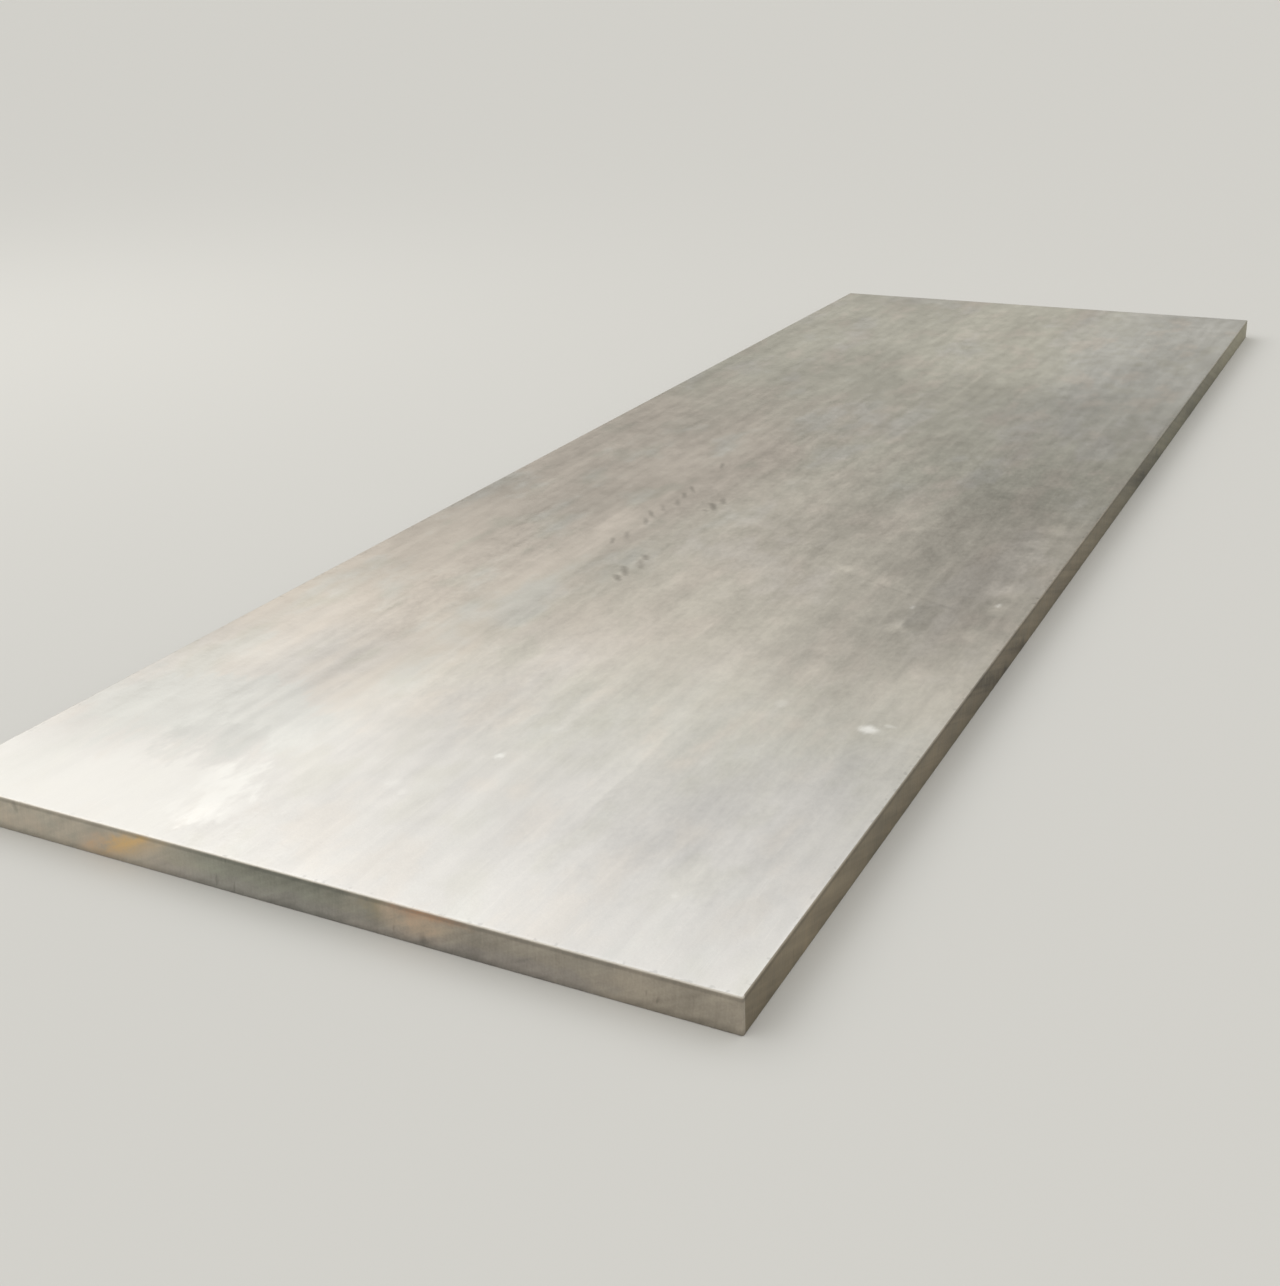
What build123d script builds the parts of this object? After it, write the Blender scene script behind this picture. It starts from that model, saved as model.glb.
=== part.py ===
"""A thick hot-rolled nickel alloy plate, lying flat as mill stock.

The plate is one piece of metal. Its two broad faces are as rolled, annealed and pickled, and they are flat
and parallel. Its four edges are cut through the full thickness by a jet from above. The kerf is wider where
the jet enters the metal than where it leaves it, so each cut face leans in towards the top. The jet rounds
the top arris, the burr under the plate is ground off to a narrow flat, and the upright corners are eased.

Frame: the origin is the centre of the underside, +Y runs along the plate in the rolling direction, +X runs
across it and +Z is up through the thickness. Lengths are in millimetres and angles in degrees.
"""

import os

from build123d import *

# Stock size, measured at the underside, where the plate is widest
plate_length = 4500.0
plate_width = 1500.0
plate_thickness = 61.0

# Cut edges
kerf_lean = 1.0
top_arris_radius = 2.0
under_arris_flat = 1.0
corner_ease = 2.0

# The upright corners take both arris treatments round with them, so they are rounder than either
corner_radius = max(top_arris_radius, under_arris_flat) + corner_ease

with BuildPart() as plate:
    # Rolled plate, cut to its outline
    with BuildSketch(Plane.XY):
        Rectangle(plate_width, plate_length)
    extrude(amount=plate_thickness, taper=kerf_lean)

    # Upright corners, the only edges that aren't level
    fillet(plate.edges().filter_by(Plane.XY, reverse=True), radius=corner_radius)

    # Top arris, rounded where the jet enters
    fillet(plate.edges().group_by(Axis.Z)[-1], radius=top_arris_radius)

    # Underside arris, ground flat where the burr was
    chamfer(plate.edges().group_by(Axis.Z)[0], length=under_arris_flat)

plate.part.label = "plate"

os.makedirs("parts", exist_ok=True)
export_step(plate.part, "parts/plate.step")
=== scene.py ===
"""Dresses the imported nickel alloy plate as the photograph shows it. Metres, in the frame's own axes: X
runs across the plate, Y along it and away from the camera, and Z up from the floor."""

import math

import bpy
from mathutils import Matrix, Vector


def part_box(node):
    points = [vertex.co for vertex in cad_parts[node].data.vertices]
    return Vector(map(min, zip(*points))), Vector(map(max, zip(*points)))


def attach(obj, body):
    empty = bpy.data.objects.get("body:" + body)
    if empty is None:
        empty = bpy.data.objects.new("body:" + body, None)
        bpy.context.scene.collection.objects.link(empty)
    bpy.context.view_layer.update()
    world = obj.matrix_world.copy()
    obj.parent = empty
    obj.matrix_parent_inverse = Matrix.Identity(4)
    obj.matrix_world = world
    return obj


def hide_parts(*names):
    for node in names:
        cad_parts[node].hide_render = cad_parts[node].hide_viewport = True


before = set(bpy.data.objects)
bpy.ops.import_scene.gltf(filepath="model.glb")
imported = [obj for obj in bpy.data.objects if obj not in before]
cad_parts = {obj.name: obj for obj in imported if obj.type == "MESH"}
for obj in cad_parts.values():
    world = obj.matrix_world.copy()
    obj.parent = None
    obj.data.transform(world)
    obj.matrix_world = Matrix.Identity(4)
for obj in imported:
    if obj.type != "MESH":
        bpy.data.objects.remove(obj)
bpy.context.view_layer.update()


# The plate
# One solid piece of nickel alloy, rolled hot to its thickness, annealed and pickled, and then cut to its
# outline by a jet. Its two broad faces keep the mill's skin and its four sides the jet's. It's stock, so
# nothing is fixed to it and it's fixed to nothing.

low_corner, high_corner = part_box("plate")
plate_width, plate_length, plate_thickness = high_corner - low_corner


class Wire:
    """A node's output that can be written into sums. Each operator adds the Math node it stands for."""

    def __init__(self, recipe, socket):
        self.recipe = recipe
        self.socket = socket

    def maths(self, operation, *terms):
        """A Math node on these terms."""
        return self.recipe.add("ShaderNodeMath", {"operation": operation}, dict(enumerate(terms)))

    def __add__(self, other):
        return self.maths("ADD", self, other)

    def __sub__(self, other):
        return self.maths("SUBTRACT", self, other)

    def __rsub__(self, other):
        return self.maths("SUBTRACT", other, self)

    def __mul__(self, other):
        return self.maths("MULTIPLY", self, other)

    def __truediv__(self, other):
        return self.maths("DIVIDE", self, other)

    def __mod__(self, other):
        return self.maths("FLOORED_MODULO", self, other)

    def __abs__(self):
        return self.maths("ABSOLUTE", self)

    __radd__ = __add__
    __rmul__ = __mul__

    def at_most(self, other):
        return self.maths("MINIMUM", self, other)

    def at_least(self, other):
        return self.maths("MAXIMUM", self, other)

    def ease(self, low, high, at_low, at_high):
        """One value up to low and another from high, eased in between."""
        ends = {"Value": self, "From Min": low, "From Max": high, "To Min": at_low, "To Max": at_high}
        return self.recipe.add("ShaderNodeMapRange", {"interpolation_type": "SMOOTHSTEP"}, ends)

    def rise(self, low, high):
        return self.ease(low, high, 0.0, 1.0)

    def fall(self, low, high):
        return self.ease(low, high, 1.0, 0.0)

    def span(self, low, high, soft, height=1.0):
        """A height between low and high, and 0 outside them, eased over the soft distance at both."""
        half = (high - low) / 2
        return abs(self - (low + half)).ease(half - soft / 2, half + soft / 2, height, 0.0)

    def other(self, name):
        """Another output of the node that this one belongs to."""
        return Wire(self.recipe, self.recipe.find(self.socket.node.outputs, name))


class Recipe:
    """A node tree and the ways that nodes are added to it."""

    def __init__(self, tree):
        self.tree = tree

    def find(self, sockets, key):
        """The socket of a name or a number, among those that the node's settings leave in use."""
        shown = [socket for socket in sockets if socket.enabled]
        if isinstance(key, int):
            return shown[key]
        return next(socket for socket in shown if socket.name == key)

    def feed(self, socket, value):
        """Joins a wire to a socket, or sets the socket to a value."""
        if isinstance(value, Wire):
            self.tree.links.new(value.socket, socket)
        else:
            socket.default_value = value

    def add(self, kind, settings=None, sockets=None, result=0):
        """A node of a kind, with its settings and its sockets' values or wires. Gives one output."""
        node = self.tree.nodes.new(kind)
        for name, value in (settings or {}).items():
            setattr(node, name, value)
        for key, value in (sockets or {}).items():
            self.feed(self.find(node.inputs, key), value)
        return Wire(self, self.find(node.outputs, result))

    def vector(self, operation, *terms):
        return self.add("ShaderNodeVectorMath", {"operation": operation}, dict(enumerate(terms)))

    def point(self, x=0.0, y=0.0, z=0.0):
        return self.add("ShaderNodeCombineXYZ", {}, {"X": x, "Y": y, "Z": z})

    def parts(self, vector):
        """The X, Y and Z of a vector."""
        x = self.add("ShaderNodeSeparateXYZ", {}, {"Vector": vector}, "X")
        return x, x.other("Y"), x.other("Z")

    def noise(self, place, patch, seed, detail=2.0, roughness=0.5, kind="3D"):
        """Noise from about -1 to 1, whose patches measure `patch` metres along X, Y and Z."""
        per_metre = tuple(1 / size for size in patch)
        moved = self.vector("MULTIPLY_ADD", place, per_metre, (seed, seed, seed))
        grain = {"Vector": moved, "Scale": 1.0, "Detail": detail, "Roughness": roughness}
        noise = self.add("ShaderNodeTexNoise", {"noise_dimensions": kind}, grain)
        return noise.maths("MULTIPLY_ADD", noise, 2.0, -1.0)

    def out_from(self, place, x, y, half_width, half_length):
        """How far out a place is from the middle of an oval, whose rim is at 1."""
        scale = (1 / half_width, 1 / half_length, 0.0)
        scaled = self.vector("MULTIPLY_ADD", place, scale, (-x * scale[0], -y * scale[1], 0.0))
        return self.vector("LENGTH", scaled)

    def mix(self, share, first, second, kind="RGBA"):
        """A colour between two, as far towards the second as its share."""
        ends = {"Factor": share, "A": first, "B": second}
        return self.add("ShaderNodeMix", {"data_type": kind}, ends)

    def blend(self, share, first, second):
        """A number between two, as far towards the second as its share."""
        return self.mix(share, first, second, "FLOAT")

    def shade(self, colour, brightness):
        return self.vector("SCALE", colour, brightness)

    def finish(self, **looks):
        """Gives the material its looks, named as its shader's sockets are, with _ for a space."""
        shader = self.tree.nodes["Principled BSDF"]
        for name, value in looks.items():
            self.feed(shader.inputs[name.replace("_", " ")], value)

    def bump(self, height, depth):
        """Relief: a height of 1 stands the depth in metres proud."""
        sockets = {"Height": height, "Distance": depth, "Strength": 1.0}
        return self.add("ShaderNodeBump", {}, sockets)


def new_finish(name):
    """An empty material and the recipe that fills it."""
    material = bpy.data.materials.new(name)
    material.use_nodes = True
    return material, Recipe(material.node_tree)


# The rolled finish. X runs across the plate and Y along it, the way it was rolled. The underside takes
# its pattern from further along the same skin.
rolled_finish, rolled = new_finish("rolled_face")
across, along, up = rolled.parts(rolled.add("ShaderNodeTexCoord", result="Object"))
on_top = up.rise(plate_thickness * 0.4, plate_thickness * 0.6)
skin = rolled.point(across, along + (1 - on_top) * plate_length)


def skin_noise(width, length, seed, detail=2.0, roughness=0.5):
    return rolled.noise(skin, (width, length, 1.0), seed, detail, roughness, "2D")


# Left by the rolls, all along the plate: broad bands, lanes with sharp sides, streaks and hairlines
bands = skin_noise(0.16, 3.2, 1.7)
lane_noise = skin_noise(0.10, 1.3, 18.3, detail=1.0)
sharp_lanes = lane_noise.rise(0.05, 0.11) - lane_noise.fall(-0.16, -0.10)
streaks = skin_noise(0.024, 0.34, 5.2, roughness=0.45)
hairlines = skin_noise(0.005, 0.30, 8.8)

# Left by the acid: broad clouds, mottling a little longer than wide, stipple, a fine grain and frosting
clouds = skin_noise(0.26, 0.50, 9.4, detail=3.0, roughness=0.55)
mottle = skin_noise(0.040, 0.070, 3.3, detail=3.0)
stipple = skin_noise(0.010, 0.018, 27.0, detail=1.0)
grain = skin_noise(0.0040, 0.0055, 7.1)
frost = skin_noise(0.0014, 0.0018, 41.3, detail=1.0)

# Left by handling: scratches. Beside them, what frays the edges of marks and what varies the colour.
scratches = skin_noise(0.0016, 0.11, 63.5, detail=0.0).rise(0.50, 0.75)
frayed = skin_noise(0.012, 0.016, 47.0, detail=1.0)
hue = skin_noise(0.22, 0.60, 12.6, detail=3.0)
tint = skin_noise(0.12, 0.26, 54.9)

# Marks are on the top face alone: the underside looks them up far outside the plate. Where their edges
# are ragged, they are looked up by coordinates that wander.
off_the_plate = 10.0
marked_x = across + off_the_plate * (1 - on_top)
wander_x = skin_noise(0.07, 0.20, 14.2, detail=3.0, roughness=0.6)
wander_y = skin_noise(0.05, 0.12, 21.6, detail=3.0, roughness=0.6)
lane_x = marked_x + 0.006 * wander_x
ragged_y = along + 0.16 * wander_y
ragged_place = rolled.point(marked_x + 0.05 * wander_x, ragged_y)
dried_place = rolled.point(marked_x + 0.02 * wander_x, along + 0.06 * wander_y)
frayed_x = marked_x + 0.004 * stipple + 0.003 * grain
frayed_y = along + 0.006 * frayed + 0.003 * grain
frayed_place = rolled.point(frayed_x, frayed_y)


def lane(left, right, near, far, soft, fade=0.30):
    """1 along a lane whose sides are straight and whose ends fade out raggedly."""
    return lane_x.span(left, right, soft) * ragged_y.span(near, far, fade)


def blot(x, y, half_width, half_length):
    """1 in the middle of a ragged patch, 0 outside it."""
    return rolled.out_from(ragged_place, x, y, half_width, half_length).fall(0.70, 1.14)


# The skin is calm in some lanes and at the far end, and stippled in others. Tone is how bright it is.
calm = lane(-0.80, -0.53, -2.00, -0.50, 0.04)
calm = calm.at_least(lane(-0.335, -0.235, -1.70, -0.75, 0.02)).at_least(along.ease(0.2, 1.0, 0.0, 0.7))
stippled = (0.5 * hue + 0.5 * clouds).rise(-0.05, 0.25) * 0.6
stippled = stippled.at_least(lane(-0.22, 0.80, -1.75, 0.30, 0.10))
stippled = stippled.at_least(lane(0.24, 0.72, -2.15, -1.30, 0.20))
stippled = stippled.at_least(lane(-0.52, -0.35, -1.45, -0.60, 0.03)) * (1 - calm)
tone = 1 + 0.06 * bands + 0.018 * sharp_lanes + along.ease(-1.0, 0.0, 0.16, 0.10) * clouds
tone = tone + (0.075 * streaks + 0.012 * hairlines + 0.090 * mottle + 0.035 * grain) * (1 - 0.55 * calm)
tone = tone + (0.01 + 0.055 * stippled) * stipple + 0.07 * frost + 0.06 * scratches

# Lanes of the top face that are lighter or darker: left, right, near and far sides, softness, change of
# tone. Between them the middle of the plate is painted a little darker and the far end lighter: painted
# shade and painted light that follow how the reflections fall on the top.
lanes_and_painted_light = [
    (-0.80, -0.55, -1.95, -0.90, 0.040, 0.040),
    (-0.80, -0.12, -2.05, -1.55, 0.120, 0.035),
    (-0.80, -0.35, -1.35, -0.65, 0.150, 0.045),
    (-0.80, -0.40, -0.75, 0.35, 0.200, -0.080),
    (-0.33, -0.23, -1.40, -0.45, 0.012, 0.055),
    (-0.55, -0.35, -1.42, -0.50, 0.050, -0.045),
    (-0.42, -0.33, -2.00, -1.48, 0.030, -0.060),
    (-0.17, -0.09, -1.90, -1.20, 0.030, -0.055),
    (-0.08, 0.00, -1.65, -1.25, 0.030, 0.045),
    (-0.08, 0.02, -1.30, -0.30, 0.040, 0.030),
    (0.24, 0.32, -2.00, -0.70, 0.020, 0.035),
    (0.322, 0.760, -1.95, -0.90, 0.008, -0.040),
    (0.340, 0.560, -1.28, -0.86, 0.100, -0.040),
    # This broad lane is partly painted shade: it also darkens the right of the middle, where the
    # reflection is darker
    (0.340, 0.900, -0.95, 1.00, 0.500, -0.135),
    (0.095, 0.108, 0.77, 1.17, 0.008, 0.060),
    # The last five lanes are painted light and painted shade: they brighten and darken broad parts of
    # the top to follow how the reflections fall on it
    (-0.36, 0.13, -1.98, -1.30, 0.120, 0.070),
    (0.16, 0.90, -2.60, -2.02, 0.120, 0.060),
    (0.42, 0.90, -0.95, 0.30, 0.120, -0.080),
    (0.10, 0.46, -0.45, 0.10, 0.150, -0.050),
    (-0.20, 0.45, 1.10, 2.60, 0.200, 0.130),
]
shortest_fade = 0.25
for left, right, near, far, soft, change in lanes_and_painted_light:
    fade = max(shortest_fade, (far - near) / 3)
    sides = lane_x.span(left, right, soft, change)
    tone = sides.maths("MULTIPLY_ADD", sides, ragged_y.span(near, far, fade), tone)
# Painted shade over the middle of the top and painted light at its far end
tone = tone - 0.06 * ragged_y.span(-1.05, 0.85, 0.63) + ragged_y.ease(0.75, 1.85, 0.0, 0.15)

# Hazy blots where drops have dried, a little longer than wide, and one oval ring: place and reach
dried_drops = [
    (0.390, -0.335, 0.050),
    (0.668, -0.260, 0.042),
    (0.665, -0.365, 0.040),
    (0.663, -0.475, 0.034),
    (0.415, -0.715, 0.045),
    (0.672, -0.690, 0.050),
    (0.684, -0.785, 0.030),
    (0.315, -0.700, 0.032),
    (0.525, -0.975, 0.030),
    (0.667, -0.945, 0.040),
]
haze = 0
drop_length = 1.4
drop_place = rolled.vector("MULTIPLY", dried_place, (1.0, 1 / drop_length, 0.0))
for x, y, reach in dried_drops:
    out = rolled.vector("DISTANCE", drop_place, (x, y / drop_length, 0.0))
    haze = haze + out.fall(reach * 0.15, reach * 1.14)
haze = haze * (0.8 + 0.6 * mottle)
dried_ring = abs(rolled.out_from(dried_place, 0.19, 0.45, 0.038, 0.090) - 1).fall(0.0, 0.3)

# Handling: a long rub across the plate, dark with a paler far side, and small bright scuffs, whose rows
# give the place, half the width and length, and the strength
rub_start = Vector((0.27, -0.69))
rub_end = Vector((0.61, -0.83))
rub_slope = (rub_end.y - rub_start.y) / (rub_end.x - rub_start.x)
off_rub = along - rub_start.y - (across - rub_start.x) * rub_slope + 0.012 * wander_x
in_rub = marked_x.span(rub_start.x, rub_end.x, 0.10)
rub_dark = abs(off_rub).fall(0.001, 0.009) * in_rub * (0.7 + 0.8 * frayed)
rub_light = abs(off_rub - 0.024).fall(0.0, 0.030) * in_rub * (0.8 + 0.8 * mottle)
scuffs = [
    (0.631, -1.428, 0.0230, 0.0200, 0.85),
    (0.662, -1.402, 0.0140, 0.0090, 0.30),
    (0.450, -1.390, 0.0160, 0.0220, 0.18),
    (0.090, -1.780, 0.0110, 0.0160, 0.75),
    (-0.020, -1.940, 0.0190, 0.0200, 0.30),
    (0.010, -1.960, 0.0110, 0.0130, 0.25),
    (0.520, -0.850, 0.0080, 0.0140, 0.30),
    (0.680, -0.770, 0.0080, 0.0140, 0.40),
    (0.560, -2.060, 0.0070, 0.0100, 0.30),
]
scuffed = 0
for x, y, half_width, half_length, strength in scuffs:
    out = rolled.out_from(frayed_place, x, y, half_width, half_length)
    scuffed = scuffed + out.ease(0.15, 1.18, strength, 0.0)

# Ink: two rows of faint strokes, each leaned, shifted and faded by chance, so that they can't be read.
# The second row's strokes are larger, and have a gap between them.
stroke_pitch = 0.054
row_parting = -0.187
first_row_x = -0.245
row_step = 0.116
cells_between_rows = 31
fade_scramble = 7.31
lean_scramble = 3.70
second_row = across.rise(row_parting - 0.001, row_parting + 0.001)
counted = along / stroke_pitch
cell = counted.maths("FLOOR", counted) + cells_between_rows * second_row
chance = rolled.add("ShaderNodeTexWhiteNoise", {"noise_dimensions": "1D"}, {"W": cell}, "Value")
other_chance = (chance * fade_scramble) % 1
stroke_lean = 0.25 + 0.40 * ((chance * lean_scramble) % 1)
stroke_size = 1 + 0.35 * second_row
stroke_y = (along % stroke_pitch) - stroke_pitch * (0.42 + 0.16 * other_chance)
row_x = marked_x - first_row_x - row_step * second_row
stroke_x = row_x - 0.030 * (chance - 0.5) + stroke_y * stroke_lean
ink = (abs(stroke_x + 0.004 * wander_x) + 0.003 * stipple).fall(0.0, 0.0115 * stroke_size)
ink = ink * (abs(stroke_y) + 0.008 * frayed).fall(0.004, 0.036 * stroke_size)
ink = ink * (other_chance + 0.35 * second_row).rise(0.10, 0.55)
second_written = along.span(-0.44, -0.32, 0.02) + along.span(-0.95, -0.78, 0.02)
ink = ink * rolled.blend(second_row, 0.75 * along.span(-0.74, -0.03, 0.02), second_written)

# Residue: a thin pale film over the near left corner, with ragged sides and one whiter patch
film_edge = 0.08 * wander_y + 0.02 * streaks + 0.06 * mottle
film = (along + film_edge).fall(-2.11, -1.93) * (across + 1.6 * film_edge).fall(-0.26, -0.18)
film = film * (0.88 + 0.5 * clouds) * on_top
whitest = rolled.out_from(ragged_place, -0.265, -2.075, 0.080, 0.085).fall(0.2, 1.14)

# Bright rim: the last few millimetres, worn bright by slings and hands, and partly a painted highlight
# along the edge
to_side = plate_width / 2 - abs(across)
to_end = plate_length / 2 - abs(along)
to_rim = to_side.at_most(to_end)
rim = (to_rim + 0.003 * wander_y).fall(0.003, 0.010)
chipped = (to_rim - 0.006 * frayed).fall(0.004, 0.012) * (frayed + 0.4 * hue).rise(0.20, 0.45)

# Colour: the alloy's warm grey leans to pink, green or blue in patches
warm_grey = (0.560, 0.512, 0.433, 1.0)
pink_grey = (0.572, 0.510, 0.432, 1.0)
green_grey = (0.541, 0.517, 0.430, 1.0)
blue_grey = (0.540, 0.527, 0.480, 1.0)
cool_grey = (0.555, 0.528, 0.482, 1.0)
film_white = (0.76, 0.73, 0.665, 1.0)
scuff_white = (0.83, 0.805, 0.74, 1.0)
ink_grey = (0.245, 0.220, 0.182, 1.0)
leaning = (across + 0.45 * hue).rise(-0.35, 0.20).at_least((along + 0.5 * hue).rise(0.0, 1.0))
colour = rolled.mix(leaning, pink_grey, green_grey)
colour = rolled.mix((hue + 0.3 * mottle).rise(0.0, 0.5), colour, warm_grey)
blue = (across + 0.15 * hue).rise(0.15, 0.45) * (along + 0.3 * hue).rise(0.2, 1.3) * on_top
colour = rolled.mix(blue * 0.8, colour, blue_grey)
cool = (along + 0.4 * hue).fall(-2.0, -1.1) * on_top
colour = rolled.mix(cool, colour, cool_grey)
tinting = 0.5 - 0.25 * cool
colour = rolled.mix((tint + 0.3 * mottle).rise(0.05, 0.45) * tinting, colour, pink_grey)
colour = rolled.mix((tint + 0.3 * mottle).fall(-0.45, -0.05) * tinting, colour, green_grey)
colour = rolled.mix((hue - 0.6 * tint + 0.3 * mottle).rise(0.10, 0.55) * 0.5, colour, blue_grey)
colour = rolled.mix(blot(-0.50, -1.84, 0.30, 0.15) * 0.8, colour, blue_grey)
colour = rolled.mix(lane(-0.05, 0.95, -1.40, -0.15, 0.25, 0.45) * 0.50, colour, pink_grey)
tone = tone + 0.17 * haze - 0.03 * dried_ring - 0.08 * rub_dark + 0.055 * rub_light + 0.03 * rim
tone = tone - 0.07 * blot(-0.39, -1.94, 0.12, 0.09) - 0.16 * chipped
colour = rolled.shade(colour, tone)
colour = rolled.mix(film * 0.60, colour, film_white)
colour = rolled.mix(whitest * 0.50, colour, scuff_white)
colour = rolled.mix(scuffed * 0.80, colour, scuff_white)
colour = rolled.mix(ink * 0.70, colour, ink_grey)

dull_sheen = (0.68, 0.68, 0.68, 1.0)
skin_relief = 0.00006
smoothest = 0.28
rough = 0.33 + 0.05 * clouds + 0.05 * mottle + 0.03 * streaks + 0.03 * stipple
rough = (rough + 0.10 * film + 0.06 * whitest + 0.15 * scuffed - 0.04 * rim).at_least(smoothest)
rolled.finish(
    Base_Color=colour,
    Metallic=1 - 0.35 * film - 0.6 * scuffed,
    Roughness=rough,
    Specular_Tint=dull_sheen,
    Normal=rolled.bump(0.6 * grain + 0.7 * stipple + 0.3 * frost, skin_relief),
)

# The cut finish. The jet's drag lines leave the top upright and trail behind it, more and more with
# depth, so they follow the way along the cut less a lag that grows with depth. X + Y is that way on all
# four sides, and X - Y tells a side from the one across from it.
cut_finish, cut = new_finish("cut_edge")
drag_lag = 0.007
side_patch = 0.6
rib_width = 0.011
rib_height = 0.30
rib_seed = 3.1


def along_cut(recipe, place):
    """The way along the cut, the height, and which side it is, as a vector for noise."""
    x, y, z = recipe.parts(place)
    depth = 1 - z / plate_thickness
    return recipe.point(x + y + drag_lag * depth * depth, z, x - y)


def edge_noise(recipe, path, width, height, seed, detail=3.0):
    """Noise on the cut faces, whose patches are so wide along the cut and so high."""
    return recipe.noise(path, (width, height, side_patch), seed, detail)


edge_place = cut.add("ShaderNodeTexCoord", result="Object")
edge_x, edge_y, edge_z = cut.parts(edge_place)
path = along_cut(cut, edge_place)
ribs = edge_noise(cut, path, rib_width, rib_height, rib_seed, detail=1.0)
fine_ribs = edge_noise(cut, path, 0.0034, 0.05, 6.4, detail=2.0)
broad_ribs = edge_noise(cut, path, 0.045, 0.16, 2.2)
patches = edge_noise(cut, path, 0.035, 0.028, 15.5)
zones = edge_noise(cut, path, 0.26, 0.20, 11.0)
specks = cut.noise(edge_place, (0.004, 0.004, 0.004), 4.0, detail=3.0)
scores = edge_noise(cut, path, 0.009, 0.045, 33.0, detail=1.0).rise(0.42, 0.62)

# Smudges lean one way on the end faces, which are up to end_zone in, and the other way on the long sides
end_zone = 0.0075
end_wipe = -2.0
side_wipe = 3.0
on_side = (plate_length / 2 - abs(edge_y)).rise(end_zone - 0.001, end_zone + 0.001)
wipe = end_wipe + (side_wipe - end_wipe) * on_side
wiped = cut.point(edge_x + edge_y + edge_z * wipe, edge_z, edge_x - edge_y)
smudges = edge_noise(cut, wiped, 0.030, 0.060, 51.0)
edge_tone = 1 + 0.08 * ribs + 0.08 * fine_ribs + 0.12 * broad_ribs + 0.14 * patches + 0.24 * smudges
edge_tone = edge_tone + 0.22 * zones + 0.14 * specks - 0.24 * scores

# The long sides are darker and browner than the ends: partly their own colour, partly painted shade,
# as on the right side, which is turned from the light
end_grey = (0.435, 0.405, 0.335, 1.0)
tan = (0.440, 0.385, 0.310, 1.0)
taupe = (0.388, 0.350, 0.290, 1.0)
green_dark = (0.330, 0.328, 0.270, 1.0)
mauve = (0.372, 0.340, 0.322, 1.0)
shaded_side_brown = (0.166, 0.135, 0.086, 1.0)
shaded_side_green = (0.169, 0.158, 0.107, 1.0)
sand = (0.610, 0.455, 0.320, 1.0)
ochre = (0.625, 0.440, 0.235, 1.0)
amber = (0.740, 0.510, 0.235, 1.0)
rust = (0.600, 0.345, 0.200, 1.0)
olive = (0.330, 0.290, 0.185, 1.0)
near_end = edge_y.fall(-2.2, -2.1)
edge_colour = cut.mix((zones + 0.5 * patches).rise(-0.35, 0.35), end_grey, tan)
drifted_x = edge_x + 0.12 * zones + 0.05 * patches
edge_colour = cut.mix(drifted_x.span(0.28, 0.60, 0.10) * near_end * 0.8, edge_colour, taupe)
edge_colour = cut.mix(drifted_x.rise(0.52, 0.60) * near_end * 0.8, edge_colour, tan)
in_green = drifted_x.span(-0.20, 0.14, 0.16) * near_end
edge_colour = cut.mix(in_green, edge_colour, green_dark)
low_down = (edge_z + 0.016 * patches + 0.010 * smudges).fall(0.014, 0.034)
low_down = low_down * drifted_x.span(-0.26, 0.54, 0.12) * near_end
edge_colour = cut.mix(low_down * 0.45, edge_colour, mauve)
# Painted shade with the sides' own brown: the long sides are darkened against the ends
browned_and_shaded = cut.mix((edge_y + 0.5 * zones).rise(-0.5, 0.7), shaded_side_brown, shaded_side_green)
edge_colour = cut.mix(on_side * 0.88, edge_colour, browned_and_shaded)
edge_tone = edge_tone + near_end * (0.14 - 0.24 * drifted_x.rise(-0.28, 0.06))
edge_tone = edge_tone - 0.15 * in_green * edge_z.rise(0.030, 0.050)
edge_tone = edge_tone + on_side * (0.22 * edge_y.fall(-2.0, -1.3) + 0.50 * edge_y.rise(1.1, 2.25))

# Runs of dirt lean as they go down the long sides. The right side has dark marks too, some of them
# painted shade where supports under the plate darken it: place, half length, how far up they reach,
# depth.
run_y = edge_y + side_wipe * edge_z
runs = cut.noise(cut.point(run_y, edge_x), (0.050, 0.6, 1.0), 71.0, detail=3.0, roughness=0.6)
on_right = on_side * edge_x.rise(0.0, 0.1)
smear_and_shade_y = run_y + 0.05 * broad_ribs + 0.05 * patches
edge_tone = edge_tone + on_side * (0.34 * runs + 0.12 * patches)
smears_and_support_shade = [
    (-0.980, 0.200, 0.110, 0.20),
    # This row and the next are painted shade from a support under the plate
    (-0.985, 0.060, 0.080, 0.28),
    (-0.825, 0.055, 0.065, 0.34),
    (0.450, 0.320, 0.110, 0.20),
    (1.150, 0.300, 0.110, 0.12),
    # This row and the next are painted shade from a support under the plate too
    (0.410, 0.110, 0.070, 0.26),
    (0.630, 0.060, 0.060, 0.24),
    (1.560, 0.360, 0.070, 0.20),
]
# Dark marks and painted shade on the right side
for y, half_length, reach, depth in smears_and_support_shade:
    smear_and_shade = abs(smear_and_shade_y - y).fall(0.0, half_length) * edge_z.fall(reach * 0.4, reach)
    edge_tone = edge_tone - on_right * smear_and_shade * depth
edge_colour = cut.shade(edge_colour, edge_tone)

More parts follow.
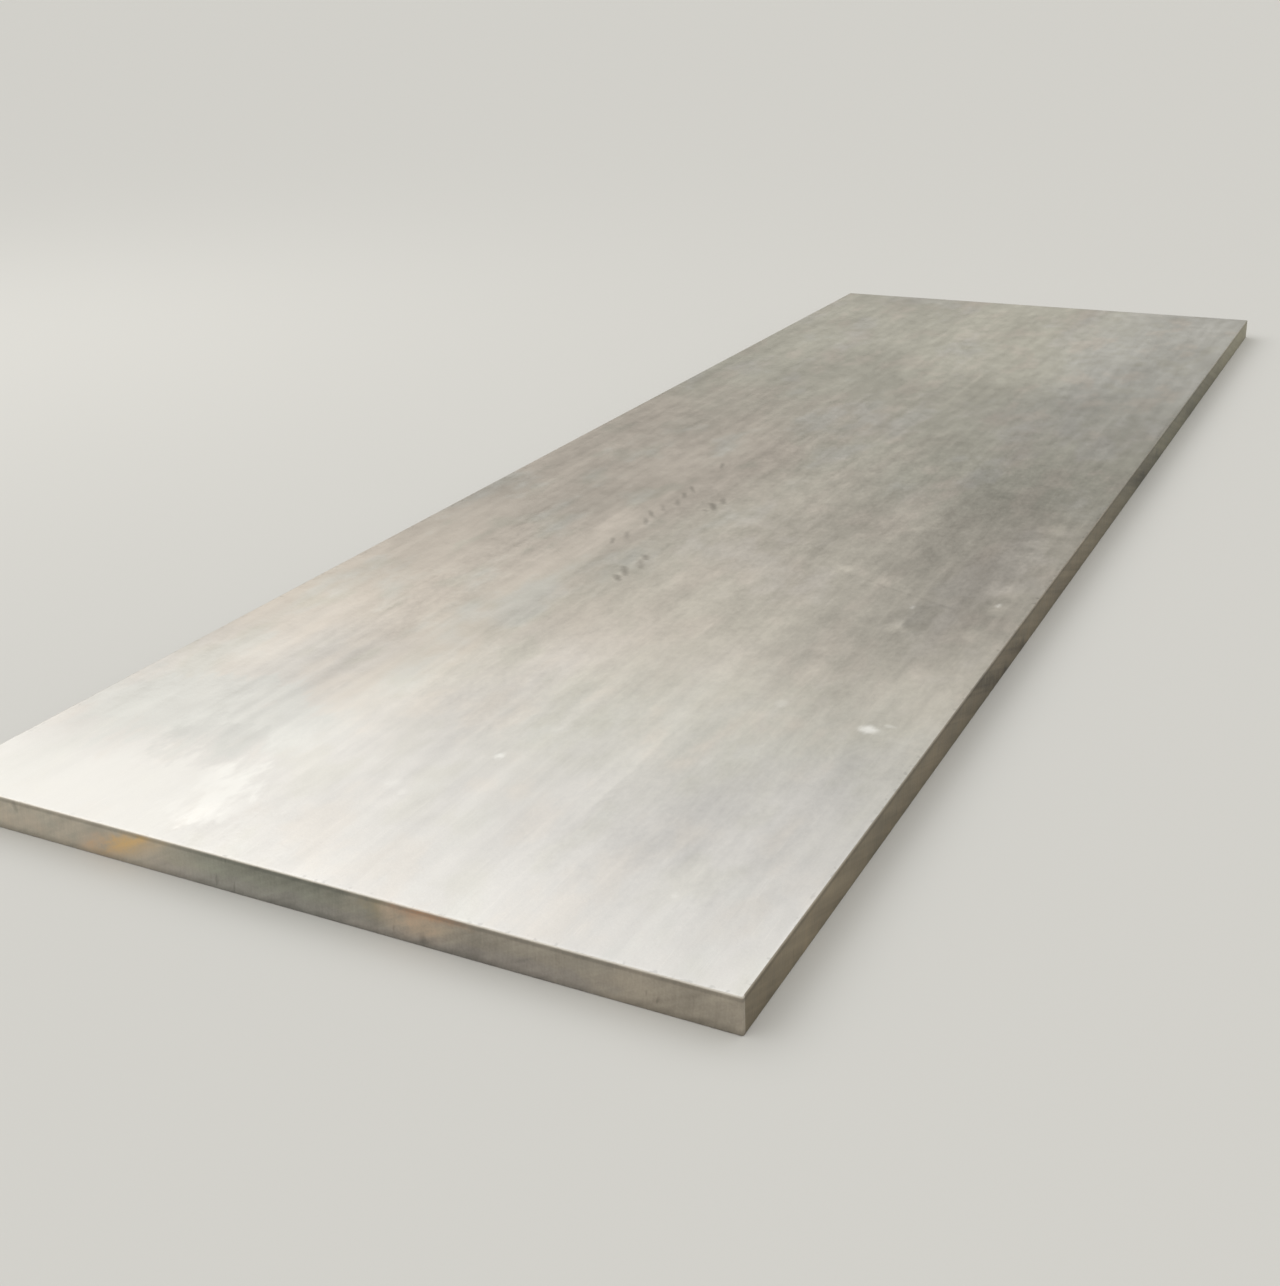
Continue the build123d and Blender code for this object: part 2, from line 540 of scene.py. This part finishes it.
# Stains: rusty water has dried on the near end in two places, and less of it elsewhere. Place, half the
# width and height, how far it leans across for each metre up, strength and colour.
blurred_x = edge_x + 0.020 * broad_ribs + 0.035 * patches
blurred_z = edge_z + 0.010 * broad_ribs - 0.016 * patches
blotched = (0.85 + 0.7 * patches + 0.9 * smudges + 0.4 * specks) * near_end
stains = [
    (-0.385, 0.046, 0.040, 0.016, 0.0, 0.40, taupe),
    (-0.385, 0.018, 0.060, 0.022, 1.0, 0.70, sand),
    (-0.325, 0.034, 0.055, 0.036, 2.0, 0.60, ochre),
    (-0.335, 0.032, 0.026, 0.026, 2.0, 0.75, amber),
    (0.163, 0.044, 0.022, 0.034, 0.0, 0.55, olive),
    (0.235, 0.036, 0.070, 0.026, 0.0, 0.62, sand),
    (0.250, 0.058, 0.066, 0.014, 0.0, 0.85, rust),
]
for x, z, half_width, half_height, lean, strength, stain_colour in stains:
    leaned_place = cut.point(blurred_x - lean * (edge_z - z), blurred_z)
    stained = cut.out_from(leaned_place, x, z, half_width, half_height).fall(0.1, 1.4) * blotched
    edge_colour = cut.mix(stained * strength, edge_colour, stain_colour)
stray = (0.6 * zones + 0.5 * broad_ribs + 0.4 * patches).rise(0.34, 0.62) * (0.40 - 0.30 * on_side)
edge_colour = cut.mix(stray, edge_colour, ochre)

# A dark line under the top arris, the arris worn bright by handling and partly a painted highlight,
# painted shade along the bottom, and two nicks
rubbed_highlight_colour = (0.62, 0.575, 0.50, 1.0)
cut_relief = 0.00018
below_top = plate_thickness - edge_z
under_arris = below_top.span(0.0030, 0.0085, 0.004)
# Painted highlight along the top arris, partly real wear from handling; stronger on the ends than the
# sides
rubbed_and_highlit = (below_top - 0.0008 * broad_ribs).fall(0.0014, 0.0032) * (0.80 - 0.55 * on_side)
# Painted shade along the bottom of the cut faces, standing in for the shadow under the plate
painted_foot_shade = (edge_z + 0.004 * patches).fall(0.002, 0.014)
nick_place = cut.point(edge_x + 0.012 * patches, edge_z)
nicks = [(0.243, 0.012), (-0.565, 0.050)]
nick_marks = 0
for x, z in nicks:
    nick_marks = nick_marks + cut.out_from(nick_place, x, z, 0.007, 0.012).fall(0.1, 1.3)
# Darker under the arris and at the nicks, with the painted shade along the bottom
dulled_and_shaded = (1 - 0.24 * under_arris) * (1 - (0.26 - 0.16 * on_side) * painted_foot_shade)
dulled_and_shaded = dulled_and_shaded * (1 - 0.26 * nick_marks * near_end)
edge_colour = cut.shade(edge_colour, dulled_and_shaded)
edge_colour = cut.mix(rubbed_and_highlit, edge_colour, rubbed_highlight_colour)
cut.finish(
    Base_Color=edge_colour,
    Metallic=0.55 + 0.45 * rubbed_and_highlit,
    Roughness=0.56 + 0.06 * ribs + 0.08 * patches + 0.06 * specks - 0.18 * rubbed_and_highlit,
    Normal=cut.bump(0.9 * fine_ribs + 0.8 * specks + 0.5 * patches, cut_relief),
)

# The shape. A section of the cut edge is swept round the outline, and the rolled faces close it. The
# section is measured out from where the plate is widest, just over the flat that was ground under it.
# Its lean, arris, flat and corners are the solid's own.
kerf_lean = math.radians(1.0)
top_arris_radius = 0.002
under_arris_flat = 0.001
corner_radius = 0.004
corner_steps = 6
arris_steps = 4
face_rows = 7
arris_margin = 0.0015
column_spacing = 0.0026
weld_distance = 0.00001


def leaned(height):
    """How far out from the outline the cut face stands at a height: below 0, because it leans in."""
    return (under_arris_flat - height) * math.tan(kerf_lean)


def edge_section():
    """The cut edge's section, from under the plate to its top, as points of reach and height."""
    arris_turn = math.pi / 2 - kerf_lean
    tangent = top_arris_radius * math.tan(arris_turn / 2)
    low_row = under_arris_flat + arris_margin
    high_row = plate_thickness - tangent * math.cos(kerf_lean) - arris_margin
    rows = [low_row + (high_row - low_row) * row / face_rows for row in range(face_rows + 1)]
    face = [(leaned(height), height) for height in (under_arris_flat, *rows)]
    centre = leaned(plate_thickness) - tangent
    arris = []
    for step in range(arris_steps + 1):
        angle = kerf_lean + arris_turn * step / arris_steps
        reach = centre + top_arris_radius * math.cos(angle)
        arris.append((reach, plate_thickness - top_arris_radius * (1 - math.sin(angle))))
    return [(-under_arris_flat, 0.0), *face, *arris]


section_points = edge_section()
section_curve = bpy.data.curves.new("edge_section", "CURVE")
section_line = section_curve.splines.new("POLY")
section_line.points.add(len(section_points) - 1)
for point, (reach, height) in zip(section_line.points, section_points):
    point.co = (reach, -height, 0.0, 1.0)
section = bpy.data.objects.new("edge_section", section_curve)
bpy.context.scene.collection.objects.link(section)

cutting = bpy.data.node_groups.new("plate_cut_to_its_outline", "GeometryNodeTree")
cutting.is_modifier = True
cutting_inputs = {
    "Section": ("NodeSocketObject", section),
    "Width": ("NodeSocketFloat", plate_width),
    "Length": ("NodeSocketFloat", plate_length),
    "Thickness": ("NodeSocketFloat", plate_thickness),
    "Corner radius": ("NodeSocketFloat", corner_radius),
    "Column spacing": ("NodeSocketFloat", column_spacing),
    "Under inset": ("NodeSocketFloat", -section_points[0][0]),
    "Top inset": ("NodeSocketFloat", -section_points[-1][0]),
    "Rib depth": ("NodeSocketFloat", 0.00032),
    "Gouge depth": ("NodeSocketFloat", 0.0007),
    "Nick depth": ("NodeSocketFloat", 0.0014),
    "Wander": ("NodeSocketFloat", 0.0006),
    "Rolled face": ("NodeSocketMaterial", rolled_finish),
    "Cut edge": ("NodeSocketMaterial", cut_finish),
}
cutting.interface.new_socket("Geometry", in_out="INPUT", socket_type="NodeSocketGeometry")
for name, (kind, _) in cutting_inputs.items():
    cutting.interface.new_socket(name, in_out="INPUT", socket_type=kind)
cutting.interface.new_socket("Geometry", in_out="OUTPUT", socket_type="NodeSocketGeometry")
shop = Recipe(cutting)
given = shop.add("NodeGroupInput")

# The outline: a rectangle with its corners eased, and a point for every column of the cut face
blank_size = {"Width": given.other("Width"), "Height": given.other("Length")}
outline = shop.add("GeometryNodeCurvePrimitiveQuadrilateral", {"mode": "RECTANGLE"}, blank_size)
easing = {"Curve": outline, "Count": corner_steps, "Radius": given.other("Corner radius")}
outline = shop.add("GeometryNodeFilletCurve", {"mode": "POLY"}, easing)
travelled = shop.add("GeometryNodeSplineParameter", result="Length")
all_round = shop.add("GeometryNodeSplineLength", result="Length")
next_point = (shop.add("GeometryNodeInputIndex") + 1) % all_round.other("Point Count")
looked_up = {"Index": next_point, "Value": travelled}
at_next = shop.add("GeometryNodeFieldAtIndex", {"data_type": "FLOAT"}, looked_up)
to_next = (at_next - travelled) % all_round
columns = to_next / given.other("Column spacing")
outline = shop.add("GeometryNodeSubdivideCurve", {}, {"Curve": outline, "Cuts": columns})
outline = shop.add("GeometryNodeSetCurveNormal", {"mode": "Z_UP"}, {"Curve": outline})

# Every point of it, and so every point of the faces made from it, keeps which way is outward
tangent = shop.add("GeometryNodeInputTangent")
kept = shop.add("GeometryNodeCaptureAttribute")
kept.socket.node.capture_items.new("VECTOR", "Outward")
shop.feed(kept.socket.node.inputs["Geometry"], outline)
shop.feed(kept.socket.node.inputs["Outward"], shop.vector("CROSS_PRODUCT", tangent, (0.0, 0.0, 1.0)))
outline = kept
outward = kept.other("Outward")

# The cut face, swept, and the two rolled faces, each filled inside the outline and lifted to its level
profile = shop.add("GeometryNodeObjectInfo", {}, {"Object": given.other("Section")}, "Geometry")
cut_face = shop.add("GeometryNodeCurveToMesh", {}, {"Curve": outline, "Profile Curve": profile})
cut_face = shop.add("GeometryNodeFlipFaces", {}, {"Mesh": cut_face})


def broad_face(inset, level):
    """A flat face inside the outline, drawn in from it by the inset."""
    drawn_in = shop.vector("SCALE", outward, 0 - inset)
    rim = shop.add("GeometryNodeSetPosition", {}, {"Geometry": outline, "Offset": drawn_in})
    face = shop.add("GeometryNodeFillCurve", {"mode": "NGONS"}, {"Curve": rim})
    face = shop.add("GeometryNodeSetShadeSmooth", {}, {"Geometry": face, "Shade Smooth": False})
    return shop.add("GeometryNodeSetPosition", {}, {"Geometry": face, "Offset": shop.point(z=level)})


top_face = broad_face(given.other("Top inset"), given.other("Thickness"))
under_face = broad_face(given.other("Under inset"), 0.0)
under_face = shop.add("GeometryNodeFlipFaces", {}, {"Mesh": under_face})
whole = shop.add("GeometryNodeJoinGeometry")
for surface in (under_face, top_face, cut_face):
    cutting.links.new(surface.socket, whole.socket.node.inputs[0])
whole = shop.add("GeometryNodeMergeByDistance", {}, {"Geometry": whole, "Distance": weld_distance})

# The jet's marks, all of them inwards: ribs where the finish has them, a few deeper gouges, a cut line
# that wanders, and knocked arrises
spot = shop.add("GeometryNodeInputPosition")
height = shop.parts(spot)[2]
spot_path = along_cut(shop, spot)
ribbed = (edge_noise(shop, spot_path, rib_width, rib_height, rib_seed, detail=1.0) + 1) / 2
gouged = edge_noise(shop, spot_path, 0.016, 0.12, 8.3, detail=1.0).rise(0.42, 0.75)
wandered = (edge_noise(shop, spot_path, 0.45, 2.0, 5.5, detail=2.0) + 1) / 2
nicked = edge_noise(shop, spot_path, 0.010, 0.020, 17.4, detail=2.0).rise(0.38, 0.70)
near_top = (given.other("Thickness") - height).fall(0.001, 0.006)
near_foot = height.fall(0.0005, 0.004)
inward = ribbed * given.other("Rib depth") * (1 - near_top) * (1 - near_foot)
inward = inward + gouged * given.other("Gouge depth") * (1 - near_top)
inward = inward + wandered * given.other("Wander")
inward = inward + nicked * given.other("Nick depth") * near_top.at_least(near_foot)
moved = shop.vector("SCALE", outward, 0 - inward)
whole = shop.add("GeometryNodeSetPosition", {}, {"Geometry": whole, "Offset": moved})
whole = shop.add("GeometryNodeRealizeInstances", {}, {"Geometry": whole})

# Everything is cut edge but what faces straight up or down
level_enough = 0.999
levelness = abs(shop.parts(shop.add("GeometryNodeInputNormal"))[2])
is_rolled = levelness.maths("GREATER_THAN", levelness, level_enough)
whole = shop.add("GeometryNodeSetMaterial", {}, {"Geometry": whole, "Material": given.other("Cut edge")})
finished = {"Geometry": whole, "Selection": is_rolled, "Material": given.other("Rolled face")}
whole = shop.add("GeometryNodeSetMaterial", {}, finished)
shop.feed(cutting.nodes.new("NodeGroupOutput").inputs["Geometry"], whole)

# The tree cuts a blank, the result is kept as a plain mesh, and its empty first slot is taken out
blank = bpy.data.objects.new("blank", bpy.data.meshes.new("blank"))
bpy.context.scene.collection.objects.link(blank)
modifier = blank.modifiers.new("cutting", "NODES")
modifier.node_group = cutting
for socket in cutting.interface.items_tree:
    if socket.in_out == "INPUT" and socket.name in cutting_inputs:
        modifier[socket.identifier] = cutting_inputs[socket.name][1]
cut_blank = blank.evaluated_get(bpy.context.evaluated_depsgraph_get())
plate = bpy.data.objects.new("rolled_plate", bpy.data.meshes.new_from_object(cut_blank))
if plate.data.materials[0] is None:
    plate.data.materials.pop(index=0)
bpy.context.scene.collection.objects.link(plate)
for spare in (blank, section):
    bpy.data.objects.remove(spare)

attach(plate, "root")
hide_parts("plate")


# The floor
# A plain pale floor, wide enough to fill every view. It lies a hair under the plate, so that the two
# don't share a surface.
floor_reach = 60.0
floor_drop = 0.0004
floor_grey = (0.606, 0.587, 0.539, 1.0)
floor_corners = [
    (-floor_reach, -floor_reach, -floor_drop),
    (floor_reach, -floor_reach, -floor_drop),
    (floor_reach, floor_reach, -floor_drop),
    (-floor_reach, floor_reach, -floor_drop),
]
floor_mesh = bpy.data.meshes.new("floor")
floor_mesh.from_pydata(floor_corners, [], [(0, 1, 2, 3)])
floor = bpy.data.objects.new("floor", floor_mesh)
bpy.context.scene.collection.objects.link(floor)
floor_finish, floor_recipe = new_finish("floor")
floor_recipe.finish(Base_Color=floor_grey, Roughness=0.9, Specular_IOR_Level=0.0)
floor_mesh.materials.append(floor_finish)


# The camera
# It stands at the near end, to the right, and looks along the plate and down, a hair out of level.
photo_long_side = 1286
focal_length_in_pixels = 1626.6
camera_place = Vector((1.46134, -3.88282, 1.32602))
camera_turn = math.radians(27.4953)
camera_tilt = math.radians(23.0256)
camera_roll = math.radians(-1.5640)
camera_data = bpy.data.cameras.new("camera")
camera_data.lens = focal_length_in_pixels * camera_data.sensor_width / photo_long_side
camera = bpy.data.objects.new("camera", camera_data)
bpy.context.scene.collection.objects.link(camera)
bpy.context.scene.camera = camera
turned = Matrix.Rotation(camera_turn, 4, "Z")
tilted = Matrix.Rotation(math.pi / 2 - camera_tilt, 4, "X")
off_level = Matrix.Rotation(camera_roll, 4, "Z")
camera.matrix_world = Matrix.Translation(camera_place) @ turned @ tilted @ off_level


# The light
# A plain studio: pale all round, with a bright soft band above, brighter on the left, and a wide soft
# lamp over the left side that points straight down. Climb is how steeply a direction goes up, from 0
# when level to 1.
pale_backdrop = (0.643, 0.631, 0.590, 1.0)
low_light = (0.478, 0.459, 0.420, 1.0)
band_light = (1.45, 1.49, 1.56, 1.0)
overhead_light = (0.62, 0.61, 0.58, 1.0)
lamp_place = Vector((-4.1, 0.1, 2.9))
lamp_side = 3.0
lamp_watts = 20.0
world = bpy.data.worlds.new("studio")
bpy.context.scene.world = world
world.use_nodes = True
studio = Recipe(world.node_tree)
rightward, _, climb = studio.parts(studio.add("ShaderNodeTexCoord", result="Generated"))
light = studio.mix(climb.rise(0.30, 0.56), low_light, band_light)
light = studio.mix(climb.rise(0.66, 1.00), light, overhead_light)
light = studio.shade(light, rightward.ease(-0.60, -0.22, 1.37, 0.92))
light = studio.mix(climb.rise(0.18, 0.27), pale_backdrop, light)
studio.feed(world.node_tree.nodes["Background"].inputs["Color"], light)

lamp_data = bpy.data.lights.new("soft_lamp", "AREA")
lamp_data.size = lamp_side
lamp_data.energy = lamp_watts
lamp = bpy.data.objects.new("soft_lamp", lamp_data)
bpy.context.scene.collection.objects.link(lamp)
lamp.matrix_world = Matrix.Translation(lamp_place)
bpy.context.scene.view_settings.view_transform = "Standard"
